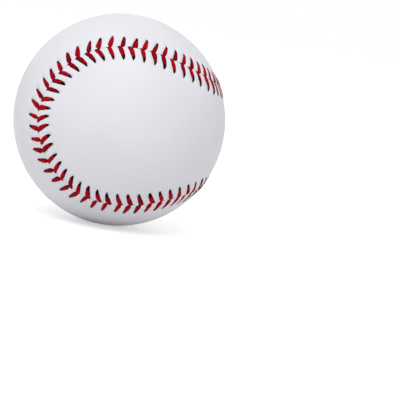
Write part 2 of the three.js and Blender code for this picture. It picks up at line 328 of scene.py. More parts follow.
@dataclass(frozen=True)
class WoundYarn:
    """Wool or cotton yarn wound under tension: matt strands that cross in every direction."""

    name: str
    colour: str
    shade: str
    strand: float  # width of one strand of yarn
    patch: float = 9 * MM  # width of the patches in which the strands run one way
    border: tuple[float, float] = (0.48, 0.52)  # noise between which one way gives way to the next
    roughness: float = 0.95
    ior: float = 1.5
    directions: tuple[tuple[float, float, float], ...] = ((0.3, 0.2, 0.0), (1.4, 0.5, 0.9),
                                                          (0.6, 1.5, 2.1))

    def material(self) -> bpy.types.Material:
        """Builds the material: three directions of strands, each seen in its own patches.

        Returns:
            The yarn.
        """
        material, tree, shader = open_material(self.name, self.colour, self.roughness, self.ior)
        place = add(tree, "ShaderNodeTexCoord").outputs["Object"]
        strands = None
        for turn in self.directions:
            turned = add(tree, "ShaderNodeMapping", fill={"Vector": place, "Rotation": turn})
            lay = add(tree, "ShaderNodeTexWave", fill={
                "Vector": turned, "Scale": 1 / (math.pi * self.strand),  # one wave to each strand
                "Distortion": 1.2, "Detail": 1.0, "Detail Scale": 0.4}).outputs["Fac"]
            if strands is None:
                strands = lay
                continue
            patch = add(tree, "ShaderNodeTexNoise",
                        fill={"Vector": turned, "Scale": 1 / self.patch})
            sharp = add(tree, "ShaderNodeMapRange", patch.outputs["Fac"], *self.border, 0.0, 1.0)
            strands = add(tree, "ShaderNodeMix", sharp, strands, lay)
        tone = add(tree, "ShaderNodeMix", data_type="RGBA", fill={
            "Factor": strands, "A": linear(self.shade), "B": linear(self.colour)})
        bump = add(tree, "ShaderNodeBump", fill={
            "Strength": 0.8, "Distance": 0.3 * self.strand, "Height": strands})
        fill_in(shader, fill={"Base Color": tone, "Normal": bump})
        return material


@dataclass(frozen=True)
class MouldedRubber:
    """Moulded natural rubber: dull, with the faint pitting that its mould leaves."""

    name: str
    colour: str
    bloom: str
    cloud: float = 7 * MM  # width of a patch of grey bloom
    roughness: float = 0.72
    ior: float = 1.52
    pit: float = 0.6 * MM
    pit_depth: float = 0.05 * MM

    def material(self) -> bpy.types.Material:
        """Builds the material: a thin grey bloom in patches, and pits in the bump.

        Returns:
            The rubber.
        """
        material, tree, shader = open_material(self.name, self.colour, self.roughness, self.ior)
        place = add(tree, "ShaderNodeTexCoord").outputs["Object"]
        cloud = add(tree, "ShaderNodeTexNoise", fill={
            "Vector": place, "Scale": 1 / self.cloud, "Detail": 4.0})
        tone = add(tree, "ShaderNodeMix", data_type="RGBA", fill={
            "Factor": cloud.outputs["Fac"], "A": linear(self.colour), "B": linear(self.bloom)})
        pits = add(tree, "ShaderNodeTexVoronoi", fill={"Vector": place, "Scale": 1 / self.pit})
        bump = add(tree, "ShaderNodeBump", fill={
            "Strength": 0.3, "Distance": self.pit_depth, "Height": pits.outputs["Distance"]})
        fill_in(shader, fill={"Base Color": tone, "Normal": bump})
        return material


@dataclass(frozen=True)
class PressedCork:
    """Cork granules pressed with rubber: warm brown grains in several tones with dark joints."""

    light: str = "#b98a57"
    dark: str = "#7c5330"
    roughness: float = 0.9
    ior: float = 1.45
    granule: float = 1.6 * MM
    joint_depth: float = 0.2 * MM

    def material(self) -> bpy.types.Material:
        """Builds the material: one tone for each granule, and joints that lie deeper.

        Returns:
            The cork.
        """
        material, tree, shader = open_material("pressed_cork", self.light, self.roughness, self.ior)
        cells = {"Vector": add(tree, "ShaderNodeTexCoord").outputs["Object"],
                 "Scale": 1 / self.granule}
        grains = add(tree, "ShaderNodeTexVoronoi", fill=cells)
        share = add(tree, "ShaderNodeSeparateXYZ", grains.outputs["Color"])
        tone = add(tree, "ShaderNodeMix", data_type="RGBA", fill={
            "Factor": share.outputs["X"], "A": linear(self.dark), "B": linear(self.light)})
        joints = add(tree, "ShaderNodeTexVoronoi", fill=cells, feature="DISTANCE_TO_EDGE")
        bump = add(tree, "ShaderNodeBump", fill={
            "Strength": 0.7, "Distance": self.joint_depth, "Height": joints.outputs["Distance"]})
        fill_in(shader, fill={"Base Color": tone, "Normal": bump})
        return material


@dataclass(frozen=True)
class SeamPath:
    """The one closed seam, a rule in two angles round the X axis, cut into even columns."""

    radius: float
    waist_angle: float = 0.434  # from the middle of a waist to the seam beside it
    sway: float = 0.3685  # swing of the seam ahead of and behind its even turn
    stitches: int = 108
    first_stitch: float = 0.25  # stitches from the start of the seam to the first pair of holes
    per_stitch: int = 12  # columns of mesh for one stitch
    fine_steps: int = 200  # steps for each column when its length is measured
    nudge: float = 1e-5  # share of a lap ahead and behind that gives the direction of travel

    def place(self, lap: np.ndarray) -> np.ndarray:
        """Gives points of the seam on a unit ball.

        Args:
            lap: Shares of one lap, from 0 to 1.

        Returns:
            One row of three coordinates for each share.
        """
        turn = 4 * math.pi * lap
        latitude = (math.pi / 2 - self.waist_angle) * np.cos(turn)
        longitude = turn / 2 + self.sway * np.sin(2 * turn)
        across = np.cos(latitude)
        return np.stack([np.sin(latitude), across * np.sin(longitude), -across * np.cos(longitude)],
                        axis=1)

    @property
    def columns(self) -> int:
        """Number of columns in one lap."""
        return self.stitches * self.per_stitch

    def measured(self) -> tuple[np.ndarray, np.ndarray]:
        """Goes once round the seam on a unit ball, in fine steps.

        Returns:
            The share of a lap at the end of each step, and the distance run there.
        """
        laps = np.linspace(0, 1, self.columns * self.fine_steps + 1)
        steps = np.linalg.norm(np.diff(self.place(laps), axis=0), axis=1)
        return laps, np.concatenate([[0], np.cumsum(steps)])

    @property
    def length(self) -> float:
        """Length of the seam."""
        return float(self.measured()[1][-1]) * self.radius

    @property
    def pitch(self) -> float:
        """Distance from one stitch to the next."""
        return self.length / self.stitches

    def guide(self) -> bpy.types.Object:
        """Makes the ring of points that the node trees read, the first at the first hole.

        Returns:
            A mesh object with one vertex for each column and its direction of travel as "ahead".
        """
        laps, run = self.measured()
        wanted = np.arange(self.columns) + self.first_stitch * self.per_stitch
        wanted = wanted * run[-1] / self.columns
        wanted = np.interp(np.mod(wanted, run[-1]), run, laps)
        ahead = self.place(wanted + self.nudge) - self.place(wanted - self.nudge)
        ahead /= np.linalg.norm(ahead, axis=1, keepdims=True)
        mesh = bpy.data.meshes.new("seam_guide")
        mesh.from_pydata((self.place(wanted) * self.radius).tolist(), [], [])
        travel = mesh.attributes.new("ahead", "FLOAT_VECTOR", "POINT")
        travel.data.foreach_set("vector", ahead.ravel())
        return new_object("seam_guide", mesh)


@dataclass(frozen=True)
class StitchLayout:
    """Sizes that the punched holes, the lacing and the marks that it presses all share."""

    hole_inset: float = 5.0 * MM  # mean of the two rows' distances from the seam
    inset_offset: float = -0.18 * MM  # A's row lies this far off the mean, B's the other way
    lean: float = 1.5 * MM  # the middle of a V lies this far ahead of its holes
    dive_offset: float = 0.48 * MM  # the legs go down this far ahead of and behind the middle
    stray: float = 0.28 * MM  # most that a hole lies off its even place, either way
    seed: int = 27

    def inset(self, side: Side) -> float:
        """Distance of a panel's holes from the seam."""
        return self.hole_inset + side.value * self.inset_offset

    def dive(self, side: Side) -> float:
        """Distance along the seam from a hole to where its leg goes down."""
        return self.lean + side.value * self.dive_offset


class TreeBuilder:
    """A Geometry Nodes tree with named inputs, run once on a guide to give a plain mesh."""

    def __init__(self, name: str) -> None:
        """Starts the tree.

        Args:
            name: Name of the tree.
        """
        self.tree = bpy.data.node_groups.new(name, "GeometryNodeTree")
        self.tree.interface.new_socket("Geometry", in_out="INPUT", socket_type="NodeSocketGeometry")
        self.tree.interface.new_socket("Geometry", in_out="OUTPUT",
                                       socket_type="NodeSocketGeometry")
        self.entry = self.tree.nodes.new("NodeGroupInput")
        self.exit = self.tree.nodes.new("NodeGroupOutput")
        self.settings: dict[str, Any] = {}

    def named(self, name: str, value: float | int | bpy.types.ID) -> bpy.types.NodeSocket:
        """Adds a named input and gives its socket.

        Args:
            name: Name of the input.
            value: A size, a whole number for a count, an object or a material.

        Returns:
            The socket that carries it inside the tree.
        """
        kinds = ((int, "Int"), (float, "Float"), (bpy.types.Object, "Object"),
                 (bpy.types.Material, "Material"))
        kind = next(kind for held, kind in kinds if isinstance(value, held))
        self.tree.interface.new_socket(name, in_out="INPUT", socket_type=f"NodeSocket{kind}")
        self.settings[name] = value
        return self.entry.outputs[name]

    def make(self, name: str, guide: bpy.types.Object, result: bpy.types.Node) -> bpy.types.Object:
        """Runs the tree on a copy of the guide and keeps what it makes as a plain mesh.

        Args:
            name: Name of the new piece.
            guide: The object whose points the tree reads.
            result: The tree's last node.

        Returns:
            The piece, an object at the origin with no modifier.
        """
        fill_in(self.exit, (result,))
        carrier = new_object(name + "_carrier", guide.data.copy())
        modifier = carrier.modifiers.new("nodes", "NODES")
        modifier.node_group = self.tree
        for item in self.tree.interface.items_tree:
            if item.in_out == "INPUT" and item.name in self.settings:
                modifier[item.identifier] = self.settings[item.name]
        carrier.update_tag()
        bpy.context.view_layer.update()
        graph = bpy.context.evaluated_depsgraph_get()
        mesh = bpy.data.meshes.new_from_object(carrier.evaluated_get(graph), depsgraph=graph)
        mesh.name = name
        if mesh.materials[0] is None:
            mesh.materials.pop(index=0)  # the slot of the guide's own mesh, which no face uses
        carrier.modifiers.remove(modifier)
        bpy.data.objects.remove(carrier)
        return new_object(name, mesh)


def swung(tree: bpy.types.NodeTree, base: Any, ahead: Any, cosine: Any,
          sine: Any) -> bpy.types.Node:
    """Adds the nodes for a direction swung off the seam, straight across it.

    Args:
        tree: The tree that gets the nodes.
        base: Place on the seam.
        ahead: Direction of travel there.
        cosine: Cosine of the angle from the seam, seen from the ball's centre.
        sine: Its sine, above zero on panel A's side.

    Returns:
        A node that gives the direction.
    """
    up = add(tree, "ShaderNodeVectorMath", base, operation="NORMALIZE")
    aside = add(tree, "ShaderNodeVectorMath", up, ahead, operation="CROSS_PRODUCT")
    aside = add(tree, "ShaderNodeVectorMath", aside, fill={"Scale": sine}, operation="SCALE")
    up = add(tree, "ShaderNodeVectorMath", up, fill={"Scale": cosine}, operation="SCALE")
    return add(tree, "ShaderNodeVectorMath", up, aside, operation="ADD")


@dataclass(frozen=True)
class HoleRow:
    """The row of holes along one panel's edge, shared by its punches and by the lacing's legs."""

    side: Side
    path: SeamPath
    layout: StitchLayout

    def points(self, tree: bpy.types.NodeTree, radius: Any) -> bpy.types.Node:
        """Adds the nodes that turn every stitch's first guide point into the place of its hole.

        Args:
            tree: The tree that sets things at the holes.
            radius: Radius of the ball.

        Returns:
            A node that gives one point for each hole, which keeps its "ahead".
        """
        guide = tree.nodes["Group Input"].outputs["Geometry"]
        rest = add(tree, "FunctionNodeIntegerMath", add(tree, "GeometryNodeInputIndex"),
                   self.path.per_stitch, operation="MODULO")
        first = add(tree, "FunctionNodeCompare", rest, 0, data_type="INT", operation="EQUAL")
        angle = self.side.value * self.layout.inset(self.side) / self.path.radius
        outward = swung(tree, add(tree, "GeometryNodeInputPosition"),
                        add(tree, "GeometryNodeInputNamedAttribute", "ahead",
                            data_type="FLOAT_VECTOR"),
                        math.cos(angle), math.sin(angle))
        stray = self.layout.stray / self.path.radius
        off = add(tree, "FunctionNodeRandomValue", (-stray, -stray, -stray), (stray, stray, stray),
                  fill={"Seed": self.layout.seed + self.side.value}, data_type="FLOAT_VECTOR")
        outward = add(tree, "ShaderNodeVectorMath", outward, off, operation="ADD")
        outward = add(tree, "ShaderNodeVectorMath", outward, operation="NORMALIZE")
        place = add(tree, "ShaderNodeVectorMath", outward, fill={"Scale": radius},
                    operation="SCALE")
        return add(tree, "GeometryNodeMeshToPoints", guide, first, place)

    def facing(self, tree: bpy.types.NodeTree) -> bpy.types.Node:
        """Adds the nodes for how a thing at a hole is turned: Z outwards, X along the seam.

        Args:
            tree: The tree that sets things at the holes.

        Returns:
            A node that gives the rotation.
        """
        return add(tree, "FunctionNodeAxesToRotation",
                   add(tree, "GeometryNodeInputPosition"),
                   add(tree, "GeometryNodeInputNamedAttribute", "ahead", data_type="FLOAT_VECTOR"),
                   primary_axis="Z", secondary_axis="X")


@dataclass
class CoverPanel:
    """One figure-eight vinyl panel: its section swept along the seam and drawn to its middle."""

    side: Side
    path: SeamPath
    layout: StitchLayout
    thickness: float = 1.3 * MM
    half_gap: float = 0.02 * MM  # the panels nearly touch between the stitches
    lip: float = 0.2 * MM  # radius of the edge where it turns down into the seam
    hem: float = 7.6 * MM  # plain cover starts here
    strip_rows: int = 18
    lip_rows: int = 5
    under_rows: int = 5
    broad_rows: int = 9
    inner_rows: int = 4
    weld: float = 0.002 * MM  # points nearer than this become one
    hole_half_width: float = 0.27 * MM
    hole_half_length: float = 0.52 * MM
    hole_sides: int = 14
    punch_length: int = 4  # in thicknesses of the cover
    sharp_bend: float = math.radians(50)  # edges that bend more than this, at the holes, stay sharp
    # The widths below are distances from the top at which a form has sunk to about a third
    dimple: float = 0.3 * MM  # depth of the cover pulled down round a hole
    dimple_along: float = 0.75 * MM
    dimple_across: float = 1.0 * MM
    press: float = 0.3 * MM  # depth of the mark under a leg
    press_width: float = 0.7 * MM
    press_end: float = 0.8 * MM  # the mark fades out this far past the hole
    pocket: float = 0.3 * MM  # widening of the seam where the legs go down
    pocket_along: float = 0.85 * MM
    pocket_across: float = 0.7 * MM
    puff: float = 0.12 * MM  # rise of the cover between the legs
    puff_place: float = 2.4 * MM  # from the seam
    puff_width: float = 1.6 * MM
    relief_fade: float = 1.5 * MM  # all of it fades out over this width before the hem

    def section(self) -> bpy.types.Object:
        """Makes the section: across the seam, above the ball, and share of the way to the middle.

        Returns:
            A mesh object of loose points, from the middle line outside to the one inside.
        """
        rows = [(self.hem, 0.0, spread) for spread in np.linspace(1, 0, self.broad_rows)[:-1]]
        start = self.half_gap + self.lip
        rows += [(across, 0.0, 0.0) for across in np.linspace(self.hem, start, self.strip_rows)]
        for turn in np.linspace(0, math.pi / 2, self.lip_rows + 1)[1:]:
            rows.append((start - self.lip * math.sin(turn), self.lip * (math.cos(turn) - 1), 0.0))
        rows += [(across, -self.thickness, 0.0)
                 for across in np.linspace(self.half_gap, self.hem, self.under_rows)]
        rows += [(self.hem, -self.thickness, spread)
                 for spread in np.linspace(0, 1, self.inner_rows)[1:]]
        mesh = bpy.data.meshes.new("cover_section")
        mesh.from_pydata(rows, [], [])
        return new_object("cover_section", mesh)

    def middle(self, tree: bpy.types.NodeTree, outward: bpy.types.Node) -> bpy.types.Node:
        """Adds the nodes for the nearest place on the panel's middle line.

        Args:
            tree: The panel's tree.
            outward: Direction of a place on the hem.

        Returns:
            A node that gives the direction of the place on the middle line.
        """
        lobe = math.pi * 3 / 4 - self.path.waist_angle
        split = add(tree, "ShaderNodeSeparateXYZ", outward)
        reach = split.outputs["Y" if self.side is Side.A else "Z"]
        forth = add(tree, "ShaderNodeMath", split.outputs["X"], float(self.side.value),
                    operation="MULTIPLY")
        angle = add(tree, "ShaderNodeMath", reach, forth, operation="ARCTAN2")
        held = add(tree, "ShaderNodeClamp", angle, -lobe, lobe)
        ahead = add(tree, "ShaderNodeMath", add(tree, "ShaderNodeMath", held, operation="COSINE"),
                    float(self.side.value), operation="MULTIPLY")
        beside = add(tree, "ShaderNodeMath", held, operation="SINE")
        if self.side is Side.A:
            return add(tree, "ShaderNodeCombineXYZ", ahead, beside, 0.0)
        return add(tree, "ShaderNodeCombineXYZ", ahead, 0.0, beside)

    def hill(self, tree: bpy.types.NodeTree, value: Any, centre: Any,
             width: float) -> bpy.types.Node:
        """Adds the nodes for a smooth hill of height 1.

        Args:
            tree: The panel's tree.
            value: Where on the slope the point lies.
            centre: Where the top of the hill lies.
            width: Distance from the top at which the hill has sunk to about a third.

        Returns:
            A node that gives the height.
        """
        away = add(tree, "ShaderNodeMath", value, centre, operation="SUBTRACT")
        share = add(tree, "ShaderNodeMath", away, width, operation="DIVIDE")
        square = add(tree, "ShaderNodeMath", share, share, operation="MULTIPLY")
        return add(tree, "ShaderNodeMath", math.exp(-1), square, operation="POWER")

    def wrapped(self, tree: bpy.types.NodeTree, stitch: Any, offset: float,
                pitch: Any) -> bpy.types.Node:
        """Adds the nodes for the distance along the seam to the nearest of a row of places.

        Args:
            tree: The panel's tree.
            stitch: Number of stitches from the first hole.
            offset: Distance of each place ahead of its hole.
            pitch: Distance between stitches.

        Returns:
            A node that gives the distance, from minus half a pitch to half a pitch.
        """
        shifted = add(tree, "ShaderNodeMath", stitch, 0.5 - offset / self.path.pitch,
                      operation="ADD")
        share = add(tree, "ShaderNodeMath", shifted, operation="FRACT")
        centred = add(tree, "ShaderNodeMath", share, 0.5, operation="SUBTRACT")
        return add(tree, "ShaderNodeMath", centred, pitch, operation="MULTIPLY")

    def relief(self, tree: bpy.types.NodeTree, stitch: Any, across: Any,
               pitch: Any) -> bpy.types.Node:
        """Adds the nodes for what the lacing does to the cover: dimples, marks and swellings.

        Args:
            tree: The panel's tree.
            stitch: Number of stitches from the first hole.
            across: Distance from the seam.
            pitch: Distance between stitches.

        Returns:
            A node that gives the height above the plain cover.
        """
        inset = self.layout.inset(self.side)
        along = self.wrapped(tree, stitch, 0.0, pitch)  # from the nearest hole
        pull = add(tree, "ShaderNodeMath", self.hill(tree, along, 0.0, self.dimple_along),
                   self.hill(tree, across, inset, self.dimple_across), operation="MULTIPLY")
        share = add(tree, "ShaderNodeMath", across, inset, operation="DIVIDE")
        lay = add(tree, "ShaderNodeMapRange", share, 0.0, 1.0, self.layout.dive(self.side), 0.0)
        under = self.hill(tree, along, lay, self.press_width)
        within = add(tree, "ShaderNodeMapRange", across, inset, inset + self.press_end,
                     1.0, 0.0, interpolation_type="SMOOTHSTEP")
        mark = add(tree, "ShaderNodeMath", under, within, operation="MULTIPLY")
        swell = self.hill(tree, across, self.puff_place, self.puff_width)
        height = add(tree, "ShaderNodeMath", swell, self.puff, operation="MULTIPLY")
        height = add(tree, "ShaderNodeMath", pull, -self.dimple, height, operation="MULTIPLY_ADD")
        return add(tree, "ShaderNodeMath", mark, -self.press, height, operation="MULTIPLY_ADD")

    def punches(self, builder: TreeBuilder, radius: Any) -> bpy.types.Node:
        """Adds the nodes for the row of punches that cut the holes.

        Args:
            builder: The panel's tree.
            radius: Radius of the ball.

        Returns:
            A node that gives the punches as solids, whose faces carry "cut".
        """
        tree = builder.tree
        width = builder.named("Hole Half Width", self.hole_half_width)
        length = builder.named("Hole Half Length", self.hole_half_length)
        sides = builder.named("Hole Sides", self.hole_sides)
        holes = HoleRow(self.side, self.path, self.layout)
        tool = add(tree, "GeometryNodeMeshCylinder", fill={
            "Vertices": sides, "Radius": 1.0, "Depth": self.punch_length * self.thickness})
        size = add(tree, "ShaderNodeCombineXYZ", width, length, 1.0)
        shaped = add(tree, "GeometryNodeTransform",
                     fill={"Geometry": tool.outputs["Mesh"], "Scale": size})
        copies = add(tree, "GeometryNodeInstanceOnPoints", fill={
            "Points": holes.points(tree, radius), "Instance": shaped,
            "Rotation": holes.facing(tree)})
        solid = add(tree, "GeometryNodeRealizeInstances", copies)
        return add(tree, "GeometryNodeStoreNamedAttribute", solid, None, "cut", True,
                   data_type="BOOLEAN", domain="FACE")

    def sheet(self, builder: TreeBuilder, section: bpy.types.Object, radius: Any) -> bpy.types.Node:
        """Adds the nodes that sweep the section along the seam and draw it in to the middle line.

        Args:
            builder: The panel's tree.
            section: The section, an object of loose points.
            radius: Radius of the ball.

        Returns:
            A node that gives the closed panel before its holes, whose points carry "seam_place".
        """
        tree = builder.tree
        pitch = builder.named("Stitch Pitch", self.path.pitch)
        columns = builder.named("Columns", self.path.columns)
        per_stitch = builder.named("Columns Per Stitch", self.path.per_stitch)
        pocket = builder.named("Pocket", self.pocket)
        shape = builder.named("Section", section)

        rows = len(section.data.vertices)
        grid = add(tree, "GeometryNodeMeshGrid", fill={
            "Size X": 1.0, "Size Y": 1.0, "Vertices Y": rows,
            "Vertices X": add(tree, "FunctionNodeIntegerMath", columns, 1, operation="ADD")})
        index = add(tree, "GeometryNodeInputIndex")
        row = add(tree, "FunctionNodeIntegerMath", index, rows, operation="MODULO")
        column = add(tree, "FunctionNodeIntegerMath", index, rows, operation="DIVIDE_FLOOR")
        lap = add(tree, "FunctionNodeIntegerMath", column, columns, operation="MODULO")
        position = add(tree, "GeometryNodeInputPosition")
        source = builder.entry.outputs["Geometry"]
        base = add(tree, "GeometryNodeSampleIndex", source, position, lap, data_type="FLOAT_VECTOR")
        travel = add(tree, "GeometryNodeInputNamedAttribute", "ahead", data_type="FLOAT_VECTOR")
        ahead = add(tree, "GeometryNodeSampleIndex", source, travel, lap, data_type="FLOAT_VECTOR")
        points = add(tree, "GeometryNodeObjectInfo", shape).outputs["Geometry"]
        cell = add(tree, "GeometryNodeSampleIndex", points, position, row, data_type="FLOAT_VECTOR")
        across, level, spread = add(tree, "ShaderNodeSeparateXYZ", cell).outputs

        stitch = add(tree, "ShaderNodeMath", lap, per_stitch, operation="DIVIDE")
        to_dive = self.wrapped(tree, stitch, self.layout.lean, pitch)
        opened = add(tree, "ShaderNodeMath", self.hill(tree, to_dive, 0.0, self.pocket_along),
                     self.hill(tree, across, 0.0, self.pocket_across), operation="MULTIPLY")
        moved = add(tree, "ShaderNodeMath", opened, pocket, across, operation="MULTIPLY_ADD")
        angle = add(tree, "ShaderNodeMath", moved, radius, operation="DIVIDE")
        angle = add(tree, "ShaderNodeMath", angle, float(self.side.value), operation="MULTIPLY")
        outward = swung(tree, base, ahead, *(
            add(tree, "ShaderNodeMath", angle, operation=rule) for rule in ("COSINE", "SINE")))
        drawn = add(tree, "ShaderNodeMix", data_type="VECTOR", fill={
            "Factor": spread, "A": outward, "B": self.middle(tree, outward)})
        facing = add(tree, "ShaderNodeVectorMath", drawn, operation="NORMALIZE")

        relief = self.relief(tree, stitch, across, pitch)
        outside = add(tree, "ShaderNodeMapRange", level, -self.thickness / 2, -self.thickness / 4,
                      0.0, 1.0)
        fading = add(tree, "ShaderNodeMapRange", across, self.hem - self.relief_fade, self.hem,
                     1.0, 0.0, interpolation_type="SMOOTHSTEP")
        felt = add(tree, "ShaderNodeMath", outside, fading, operation="MULTIPLY")
        height = add(tree, "ShaderNodeMath", relief, felt, level, operation="MULTIPLY_ADD")
        reach = add(tree, "ShaderNodeMath", height, radius, operation="ADD")
        place = add(tree, "ShaderNodeVectorMath", facing, fill={"Scale": reach}, operation="SCALE")
        seam_place = add(tree, "ShaderNodeCombineXYZ",
                         add(tree, "ShaderNodeMath", stitch, pitch, operation="MULTIPLY"),
                         across, spread)
        marked = add(tree, "GeometryNodeStoreNamedAttribute", grid.outputs["Mesh"], None,
                     "seam_place", seam_place, data_type="FLOAT_VECTOR", domain="POINT")
        laid = add(tree, "GeometryNodeSetPosition", fill={"Geometry": marked, "Position": place})
        joined = add(tree, "GeometryNodeMergeByDistance",
                     fill={"Geometry": laid, "Distance": self.weld})
        return add(tree, "GeometryNodeFlipFaces", joined) if self.side is Side.A else joined

    def build(self, guide: bpy.types.Object, skin: bpy.types.Material,
              edge: bpy.types.Material) -> bpy.types.Object:
        """Makes the panel.

        Args:
            guide: The seam's ring of points.
            skin: Material of the vinyl.
            edge: Material of the cut edge in the holes, nearly black with painted shade.

        Returns:
            The finished panel, which replaces its CAD node.
        """
        section = self.section()
        builder = TreeBuilder(f"{self.side.node}_tree")
        radius = builder.named("Ball Radius", self.path.radius)
        whole = self.sheet(builder, section, radius)
        punched = add(builder.tree, "GeometryNodeMeshBoolean",
                      operation="DIFFERENCE", solver="MANIFOLD",
                      fill={"Mesh 1": whole, "Mesh 2": self.punches(builder, radius)})
        dressed = self.finished(builder.tree, whole, punched, builder.named("Vinyl", skin),
                                builder.named("Cut Edge", edge))
        piece = builder.make(self.side.node + "_vinyl", guide, dressed)
        bpy.data.objects.remove(section)
        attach(piece, "root")
        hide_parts(self.side.node)
        return piece

    def finished(self, tree: bpy.types.NodeTree, whole: bpy.types.Node, solid: bpy.types.Node,
                 vinyl: Any, cut: Any) -> bpy.types.Node:
        """Adds the nodes that shade the panel smoothly, apart from its holes' rims, and dress it.

        Args:
            tree: The panel's tree.
            whole: The panel before it was punched, whose "seam_place" the punched one takes over.
            solid: The punched panel.
            vinyl: Material of the vinyl.
            cut: Material of the cut edge in the holes, nearly black with painted shade.

        Returns:
            The tree's last node.
        """
        smooth = add(tree, "GeometryNodeSetShadeSmooth", fill={"Geometry": solid.outputs["Mesh"]})
        bend = add(tree, "GeometryNodeInputMeshEdgeAngle").outputs["Unsigned Angle"]
        steep = add(tree, "FunctionNodeCompare", bend, self.sharp_bend, data_type="FLOAT",
                    operation="GREATER_THAN")
        creased = add(tree, "GeometryNodeStoreNamedAttribute", smooth, None, "sharp_edge", steep,
                      data_type="BOOLEAN", domain="EDGE")
        known = add(tree, "GeometryNodeInputNamedAttribute", "seam_place", data_type="FLOAT_VECTOR")
        nearest = add(tree, "GeometryNodeSampleNearestSurface", whole, known,
                      data_type="FLOAT_VECTOR")
        placed = add(tree, "GeometryNodeStoreNamedAttribute", creased, None, "seam_place",
                     nearest.outputs["Value"], data_type="FLOAT_VECTOR", domain="POINT")
        single = add(tree, "GeometryNodeRealizeInstances", placed)
        plain = add(tree, "GeometryNodeSetMaterial", fill={"Geometry": single, "Material": vinyl})
        walls = add(tree, "GeometryNodeInputNamedAttribute", "cut", data_type="BOOLEAN")
        return add(tree, "GeometryNodeSetMaterial", plain, walls, cut)


@dataclass(frozen=True)
class LegShape:
    """How the legs on one panel swell and bend, and how much painted shade darkens their ends."""

    thin_hole: float  # share of the width that is left where a leg leaves its hole
    taper: tuple[float, float]  # how sharply it tapers to its hole and to the seam
    bow: float  # it bends back this far, a third of the way from its hole
    hook: float  # and on ahead this far where it goes down
    overshoot: float  # it goes down this far past the seam
    soiled: tuple[float, float]  # least and most of it, from its hole, that is darkened by painted shade
    tail: float  # how dark the painted shade at its other end is


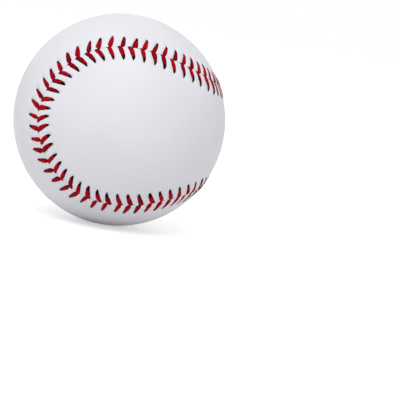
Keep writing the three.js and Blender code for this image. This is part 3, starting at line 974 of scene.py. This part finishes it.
@dataclass
class Lacing:
    """The red thread: one leg from each hole, over the cover, down into the seam."""

    path: SeamPath
    layout: StitchLayout
    half_width: float = 0.86 * MM
    half_height: float = 0.26 * MM
    thin_seam: float = 0.2  # share of the width that is left where a leg goes down into the seam
    shapes: dict[Side, LegShape] = field(default_factory=lambda: {
        Side.A: LegShape(thin_hole=0.28, taper=(0.9, 0.7), bow=0.32 * MM, hook=0.8 * MM,
                         overshoot=0.9 * MM, soiled=(0.06, 0.2), tail=0.4),
        Side.B: LegShape(thin_hole=0.28, taper=(0.95, 0.4), bow=0.12 * MM, hook=0.0,
                         overshoot=0.3 * MM, soiled=(0.08, 0.28), tail=0.15)})
    rings: int = 12
    sides: int = 8
    past_hole: float = 0.16 * MM  # a leg comes up this far outside the middle of its hole
    depth: float = 1.5 * MM  # a leg's ends go down this far
    bed: float = 0.25 * MM  # the thread lies this deep in the cover
    steepness: tuple[float, float] = (22.0, 10.0)  # how late it dives at its hole and at the seam
    handover: tuple[float, float] = (0.3, 0.7)  # shares of a leg between which the one gives way
    hook_power: float = 6.0  # how late a leg hooks ahead
    wander: float = math.radians(6.0)  # most that a leg is turned about its hole
    smallest: tuple[float, float, float] = (0.82, 0.98, 0.85)  # scale along, across and outwards
    largest: tuple[float, float, float] = (1.14, 1.02, 1.1)
    tints: tuple[float, float] = (0.05, 0.6)  # darkest and lightest tone of a leg
    seed: int = 108
    seed_step: int = 10  # A's seeds start this far above the plain one, and B's as far below it

    def leg(self, builder: TreeBuilder, side: Side, radius: Any) -> bpy.types.Node:
        """Adds the nodes for one leg, with its hole at the origin and the seam along X.

        Args:
            builder: The lacing's tree.
            side: The panel that the leg lies on.
            radius: Radius of the ball.

        Returns:
            A node that gives the leg as a closed tube.
        """
        tree = builder.tree
        layout = self.layout
        shape = self.shapes[side]
        line = add(tree, "GeometryNodeCurvePrimitiveLine", (0.0, 0.0, 0.0), (1.0, 0.0, 0.0))
        line = add(tree, "GeometryNodeResampleCurve", fill={"Curve": line, "Count": self.rings})
        factor = add(tree, "GeometryNodeSplineParameter").outputs["Factor"]
        turn = add(tree, "ShaderNodeMath", factor, math.pi, operation="MULTIPLY")
        eased = add(tree, "ShaderNodeMath", add(tree, "ShaderNodeMath", turn, operation="COSINE"),
                    -0.5, 0.5, operation="MULTIPLY_ADD")
        kept = add(tree, "GeometryNodeStoreNamedAttribute", line, None, "run", eased,
                   data_type="FLOAT", domain="POINT")
        run = add(tree, "GeometryNodeInputNamedAttribute", "run", data_type="FLOAT").outputs[0]
        away = add(tree, "ShaderNodeMath", run, 2.0, -1.0, operation="MULTIPLY_ADD")
        away = add(tree, "ShaderNodeMath", away, operation="ABSOLUTE")
        steep = add(tree, "ShaderNodeMapRange", run, *self.handover, *self.steepness)
        dip = add(tree, "ShaderNodeMath", away, steep, operation="POWER")
        rest = add(tree, "ShaderNodeMath", 1.0, run, operation="SUBTRACT")
        arch = add(tree, "ShaderNodeMath", run, rest, operation="MULTIPLY")
        arch = add(tree, "ShaderNodeMath", arch, rest, operation="MULTIPLY")
        first, last = shape.taper
        widest = first / (first + last)
        swell = add(tree, "ShaderNodeMath",
                    add(tree, "ShaderNodeMath", run, first, operation="POWER"),
                    add(tree, "ShaderNodeMath", rest, last, operation="POWER"),
                    operation="MULTIPLY")
        swell = add(tree, "ShaderNodeMath", swell, widest ** first * (1 - widest) ** last,
                    operation="DIVIDE")
        thin = add(tree, "ShaderNodeMapRange", run, 0.0, 1.0, shape.thin_hole, self.thin_seam)
        thick = add(tree, "ShaderNodeMapRange", swell, 0.0, 1.0, thin, 1.0)
        long = layout.inset(side) + shape.overshoot + self.past_hole
        across = add(tree, "ShaderNodeMath", run, -side.value * long, side.value * self.past_hole,
                     operation="MULTIPLY_ADD")
        bow = -27 / 4 * shape.bow  # the arch rises to 4/27, a third of the way along
        bent = add(tree, "ShaderNodeMath", arch, bow, operation="MULTIPLY")
        along = add(tree, "ShaderNodeMath", run, layout.dive(side), bent, operation="MULTIPLY_ADD")
        late = add(tree, "ShaderNodeMath", run, self.hook_power, operation="POWER")
        along = add(tree, "ShaderNodeMath", late, shape.hook, along, operation="MULTIPLY_ADD")
        high = add(tree, "ShaderNodeMath", thick, self.half_height, -self.bed,
                   operation="MULTIPLY_ADD")
        high = add(tree, "ShaderNodeMath", dip, -self.depth, high, operation="MULTIPLY_ADD")
        flat = add(tree, "ShaderNodeCombineXYZ", along, across, radius)
        outward = add(tree, "ShaderNodeVectorMath", flat, operation="NORMALIZE")
        reach = add(tree, "ShaderNodeMath", radius, high, operation="ADD")
        place = add(tree, "ShaderNodeVectorMath", outward, fill={"Scale": reach}, operation="SCALE")
        place = add(tree, "ShaderNodeVectorMath", place,
                    add(tree, "ShaderNodeCombineXYZ", 0.0, 0.0, radius),
                    operation="SUBTRACT")
        curve = add(tree, "GeometryNodeSetPosition", fill={"Geometry": kept, "Position": place})
        curve = add(tree, "GeometryNodeSetCurveNormal", curve, mode="Z_UP")
        circle = add(tree, "GeometryNodeCurvePrimitiveCircle",
                     fill={"Resolution": self.sides, "Radius": 1.0})
        circle = add(tree, "GeometryNodeStoreNamedAttribute", circle.outputs["Curve"], None,
                     "girth", add(tree, "GeometryNodeInputPosition"),
                     data_type="FLOAT_VECTOR", domain="POINT")
        size = add(tree, "ShaderNodeCombineXYZ",
                   builder.named(f"Half Width {side.name}", self.half_width),
                   builder.named(f"Half Height {side.name}", self.half_height), 1.0)
        oval = add(tree, "GeometryNodeTransform", fill={"Geometry": circle, "Scale": size})
        return add(tree, "GeometryNodeCurveToMesh", fill={
            "Curve": curve, "Profile Curve": oval, "Scale": thick, "Fill Caps": True})

    def row(self, builder: TreeBuilder, side: Side, radius: Any, seed: Any) -> bpy.types.Node:
        """Adds the nodes that set one leg at every hole of a panel, each a little different.

        Args:
            builder: The lacing's tree.
            side: The panel that the legs lie on.
            radius: Radius of the ball.
            seed: Seed of the small differences.

        Returns:
            A node that gives the legs as instances, each with its own "tint": a random tone and the
            painted shade at its ends.
        """
        tree = builder.tree
        holes = HoleRow(side, self.path, self.layout)
        turn_seed, scale_seed, tint_seed = (
            add(tree, "FunctionNodeIntegerMath", seed, self.seed_step * side.value + step,
                operation="ADD")
            for step in range(3))
        turn = add(tree, "FunctionNodeRandomValue", -self.wander, self.wander,
                   fill={"Seed": turn_seed}, data_type="FLOAT")
        turn = add(tree, "FunctionNodeAxisAngleToRotation", (0.0, 0.0, 1.0), turn)
        facing = add(tree, "FunctionNodeRotateRotation", holes.facing(tree), turn,
                     rotation_space="LOCAL")
        scale = add(tree, "FunctionNodeRandomValue", self.smallest, self.largest,
                    fill={"Seed": scale_seed}, data_type="FLOAT_VECTOR")
        copies = add(tree, "GeometryNodeInstanceOnPoints", fill={
            "Points": holes.points(tree, radius), "Instance": self.leg(builder, side, radius),
            "Rotation": facing, "Scale": scale})
        shape = self.shapes[side]
        # Each leg's random tone, and how much of its two ends is darkened by painted shade.
        low, high = ((tone, soiled, shape.tail) for tone, soiled in zip(self.tints, shape.soiled))
        tint = add(tree, "FunctionNodeRandomValue", low, high, fill={"Seed": tint_seed},
                   data_type="FLOAT_VECTOR")
        return add(tree, "GeometryNodeStoreNamedAttribute", copies, None, "tint", tint,
                   data_type="FLOAT_VECTOR", domain="INSTANCE")

    def build(self, guide: bpy.types.Object, thread: bpy.types.Material) -> bpy.types.Object:
        """Makes the lacing.

        Args:
            guide: The seam's ring of points.
            thread: Material of the thread.

        Returns:
            The finished lacing, which replaces its CAD node.
        """
        builder = TreeBuilder("lacing_tree")
        tree = builder.tree
        radius = builder.named("Ball Radius", self.path.radius)
        seed = builder.named("Seed", self.seed)
        finish = builder.named("Thread", thread)
        both = add(tree, "GeometryNodeJoinGeometry")
        for side in Side:
            fill_in(both, (self.row(builder, side, radius, seed),))
        solid = add(tree, "GeometryNodeRealizeInstances", both)
        smooth = add(tree, "GeometryNodeSetShadeSmooth", fill={"Geometry": solid})
        dressed = add(tree, "GeometryNodeSetMaterial",
                      fill={"Geometry": smooth, "Material": finish})
        piece = builder.make("lacing_stitches", guide, dressed)
        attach(piece, "root")
        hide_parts("lacing_thread")
        return piece


@dataclass(frozen=True)
class InsideOfBall:
    """What the cover hides: the cork centre, its rubber cups and the yarn windings."""

    white_yarn: WoundYarn = WoundYarn("white_cotton_yarn", "#e6e1d3", "#b9b2a2", strand=0.9 * MM)
    grey_yarn: WoundYarn = WoundYarn("grey_wool_yarn", "#8d8c88", "#5b5a57", strand=1.3 * MM)
    black_rubber: MouldedRubber = MouldedRubber("moulded_black_rubber", "#191818", "#2c2b2b")
    red_rubber: MouldedRubber = MouldedRubber("moulded_red_rubber", "#9b3a30", "#b05a4c")
    cork: PressedCork = PressedCork()

    def dress(self) -> None:
        """Gives every hidden CAD node its own finish."""
        finishes = (
            (self.white_yarn, ("finishing_winding", "second_winding")),
            (self.grey_yarn, ("third_winding", "first_winding")),
            (self.black_rubber, ("inner_cup_upper", "inner_cup_lower")),
            (self.red_rubber, ("outer_cup_upper", "outer_cup_lower", "cup_gasket")),
            (self.cork, ("cork_nucleus",)),
        )
        for finish, names in finishes:
            material = finish.material()
            for name in names:
                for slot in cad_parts[name].material_slots:
                    slot.material = material
                log.info("dressed %s with %s", name, material.name)


@dataclass(frozen=True)
class Studio:
    """Pale floor, soft light from above, and the camera of the photograph."""

    radius: float
    # The ball as the photograph shows it, in a frame of 400 by 400 pixels
    frame_width: float = 400.0
    ball_centre: tuple[float, float] = (119.5, 119.9)
    ball_radius: float = 105.8
    distance: float = 18.0  # from the camera to the ball, in radii of the ball
    to_camera: tuple[float, float, float] = (-0.2983, -0.9515, 0.0752)
    image_up: tuple[float, float, float] = (-0.1309, 0.1188, 0.9842)
    sensor: float = 36.0
    clip: tuple[float, float] = (0.01, 20.0)
    floor_colour: str = "#efefef"
    floor_size: float = 6.0
    floor_lift: float = 0.5  # white that the floor shows the camera besides its own
    sky: float = 0.575  # strength of the white that lights the ball from all round
    lamp_place: tuple[float, float, float] = (-0.36, -0.58, 1.0)
    lamp_size: float = 1.1
    lamp_power: float = 7.8

    def place_camera(self) -> None:
        """Sets the camera where the photograph was taken from, with the ball off its middle."""
        focal = self.ball_radius / math.tan(math.asin(1 / self.distance))
        data = bpy.data.cameras.new("photo_camera")
        data.sensor_width = self.sensor
        data.lens = focal * self.sensor / self.frame_width
        back = Vector(self.to_camera).normalized()
        up = Vector(self.image_up)
        up = (up - back * up.dot(back)).normalized()
        right = up.cross(back)
        middle = self.frame_width / 2
        sight = Vector(((self.ball_centre[0] - middle) / focal,
                        (middle - self.ball_centre[1]) / focal, -1.0))
        facing = Matrix((right, up, back)).transposed()
        aimed = facing @ sight.rotation_difference(Vector((0.0, 0.0, -1.0))).to_matrix()
        data.clip_start, data.clip_end = self.clip
        camera = new_object("photo_camera", data)
        camera.matrix_world = (Matrix.Translation(back * self.distance * self.radius)
                               @ aimed.to_4x4())
        bpy.context.scene.camera = camera

    def seen(self, tree: bpy.types.NodeTree) -> bpy.types.Node:
        """Adds the nodes that tell the camera's own rays, straight, mirrored or through glass.

        Args:
            tree: Node tree of the floor or of the world.

        Returns:
            A node that gives 1 for such rays and 0 for the light on the object.
        """
        rays = add(tree, "ShaderNodeLightPath").outputs
        straight = add(tree, "ShaderNodeMath", rays["Is Camera Ray"], rays["Is Glossy Ray"],
                       operation="MAXIMUM")
        return add(tree, "ShaderNodeMath", straight, rays["Is Transmission Ray"],
                   operation="MAXIMUM")

    def lay_floor(self) -> None:
        """Makes the pale floor under the ball, which keeps the ball's shadow."""
        half = self.floor_size / 2
        low = CAD_BOX[0].z
        corners = [(-half, -half, low), (half, -half, low), (half, half, low), (-half, half, low)]
        mesh = bpy.data.meshes.new("floor")
        mesh.from_pydata(corners, [], [(0, 1, 2, 3)])
        material, tree, shader = open_material("pale_floor", self.floor_colour, roughness=0.9,
                                               ior=1.45)
        lift = add(tree, "ShaderNodeMath", self.seen(tree), self.floor_lift, operation="MULTIPLY")
        fill_in(shader, fill={"Emission Color": WHITE, "Emission Strength": lift})
        mesh.materials.append(material)
        new_object("floor", mesh)

    def light(self) -> None:
        """Sets the even white surroundings and one wide soft lamp above."""
        world = bpy.data.worlds.new("studio")
        bpy.context.scene.world = world
        world.use_nodes = True
        tree = world.node_tree
        level = add(tree, "ShaderNodeMapRange", self.seen(tree), 0.0, 1.0, self.sky, 1.0)
        fill_in(tree.nodes["Background"], fill={"Color": WHITE, "Strength": level})
        lamp = bpy.data.lights.new("softbox", "AREA")
        lamp.shape = "DISK"
        lamp.size = self.lamp_size
        lamp.energy = self.lamp_power
        at = Vector(self.lamp_place)
        box = new_object("softbox", lamp)
        box.matrix_world = Matrix.Translation(at) @ at.to_track_quat("Z", "Y").to_matrix().to_4x4()

    def build(self) -> None:
        """Sets up the floor, the light, the camera and the view."""
        self.place_camera()
        self.lay_floor()
        self.light()
        bpy.context.scene.view_settings.view_transform = "Standard"


def main() -> None:
    """Builds the ball from the inside out, then the studio."""
    logging.basicConfig(level=logging.INFO, format="%(name)s: %(message)s")
    radius = min(CAD_BOX[1] - CAD_BOX[0]) / 2
    path = SeamPath(radius)
    layout = StitchLayout()
    guide = path.guide()
    log.info("seam of %.1f mm, one stitch each %.2f mm", path.length / MM, path.pitch / MM)
    InsideOfBall().dress()
    skin = SmoothVinyl().material()
    edge = CutVinylEdge().material()
    for side in Side:
        piece = CoverPanel(side, path, layout).build(guide, skin, edge)
        log.info("%s has %d faces", piece.name, len(piece.data.polygons))
    thread = Lacing(path, layout).build(guide, WaxedThread().material())
    log.info("%s has %d faces", thread.name, len(thread.data.polygons))
    bpy.data.objects.remove(guide)
    Studio(radius).build()


if __name__ == "__main__":
    main()
